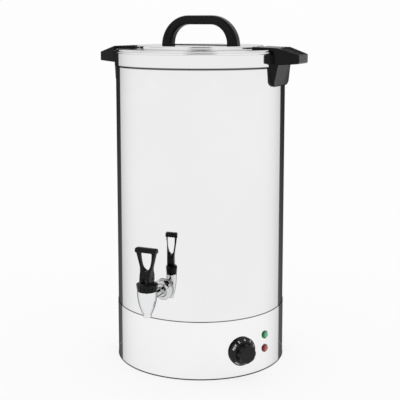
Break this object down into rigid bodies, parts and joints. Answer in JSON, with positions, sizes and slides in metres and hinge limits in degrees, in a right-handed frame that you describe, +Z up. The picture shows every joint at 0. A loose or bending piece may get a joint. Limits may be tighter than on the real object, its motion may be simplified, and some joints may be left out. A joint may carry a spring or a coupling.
{
  "type": "hot water urn",
  "caption": "Tall cylindrical steel hot water urn on a base shell, with a self-closing lever tap, a dial knob, pilot lamps, moulded side handles and a lift-off lid.",
  "frame": {"origin": "centre of the standing ring, on the surface the urn stands on", "axes": "+Z up along the tank's axis, the tap faces -Y, the side handles lie along +X and -X"},
  "size_m": [0.3836, 0.3922, 0.6131],
  "materials": {
    "polished_steel": "polished",
    "satin_steel": "satin",
    "plated_tap": "polished",
    "plain_steel": "plain",
    "zinc_steel": "zinc plated",
    "spring_steel": "drawn",
    "heat_aluminium": "cast",
    "copper_parts": "drawn",
    "brass_parts": "machined",
    "black_handle": "satin",
    "black_tap": "satin",
    "black_knob": "satin",
    "black_base": "matte",
    "black_gland": "matte",
    "dark_control": "matte",
    "pale_control": "matte",
    "white_ceramic": "glazed ceramic",
    "white_seal": "silicone",
    "green_lens": "moulded lens",
    "red_lens": "moulded lens"
  },
  "bodies": {
    "urn": {"base_ring": "black_base", "bottom_cover": "plain_steel", "bottom_cover_screws": "zinc_steel", "base_shell": "polished_steel", "tank_wall": "polished_steel", "tank_floor": "plain_steel", "heat_plate": "heat_aluminium", "heating_element": "plain_steel", "element_terminals": "white_ceramic", "sensor_bulb": "copper_parts", "bulb_clip": "zinc_steel", "bulb_clip_screws": "zinc_steel", "capillary_tube": "copper_parts", "thermal_cutout": "dark_control", "cutout_screws": "zinc_steel", "thermostat": "pale_control", "thermostat_screws": "zinc_steel", "lamp_green": "green_lens", "lamp_red": "red_lens", "lamp_holders": "pale_control", "lamp_clips": "zinc_steel", "terminal_block": "pale_control", "terminal_block_screws": "zinc_steel", "earth_stud": "brass_parts", "earth_nuts": "brass_parts", "cable_gland": "black_gland", "gland_nut": "black_gland", "tap_body": "plated_tap", "tap_flange": "plated_tap", "tap_outer_washer": "white_seal", "tap_inner_washer": "white_seal", "tap_locknut": "plated_tap", "tap_bonnet": "black_tap", "tap_spring": "spring_steel", "side_handle_right": "black_handle", "side_handle_left": "black_handle", "handle_inserts": "brass_parts", "handle_screws": "zinc_steel", "handle_washers": "zinc_steel"},
    "stem": {"tap_stem": "plain_steel", "tap_seat_cup": "white_seal"},
    "lever": {"tap_lever": "black_tap", "tap_pin": "plain_steel"},
    "control_knob": {"knob": "black_knob", "thermostat_shaft": "plain_steel"},
    "lid": {"lid": "satin_steel", "lid_skirt": "satin_steel", "lid_lugs": "black_handle", "lid_lug_rivets": "zinc_steel", "lid_handle": "black_handle", "lid_handle_screws": "zinc_steel", "lid_handle_washers": "zinc_steel"}
  },
  "joints": [
    {"name": "stem_lift", "type": "slide", "parent": "urn", "child": "stem", "axis": [0, 0, 1], "range_m": [0, 0.0032], "deforming": ["tap_spring"]},
    {"name": "lever_tilt", "type": "hinge", "parent": "stem", "child": "lever", "pos_m": [0, -0.2075, 0.18905], "axis": [1, 0, 0], "range_deg": [0, 42], "stiffness_Nm_per_rad": 0.09, "springref_deg": -34.38},
    {"name": "knob_turn", "type": "hinge", "parent": "urn", "child": "control_knob", "pos_m": [0.1198, -0.09159, 0.0454], "axis": [0.7944, -0.6074, 0], "range_deg": [-63, 220]},
    {"name": "lid_lift", "type": "slide", "parent": "urn", "child": "lid", "axis": [0, 0, 1], "range_m": [0, 0.12]}
  ],
  "couplings": [
    {"joint": "stem_lift", "follows": "lever_tilt", "m_per_rad": 0.0043}
  ]
}
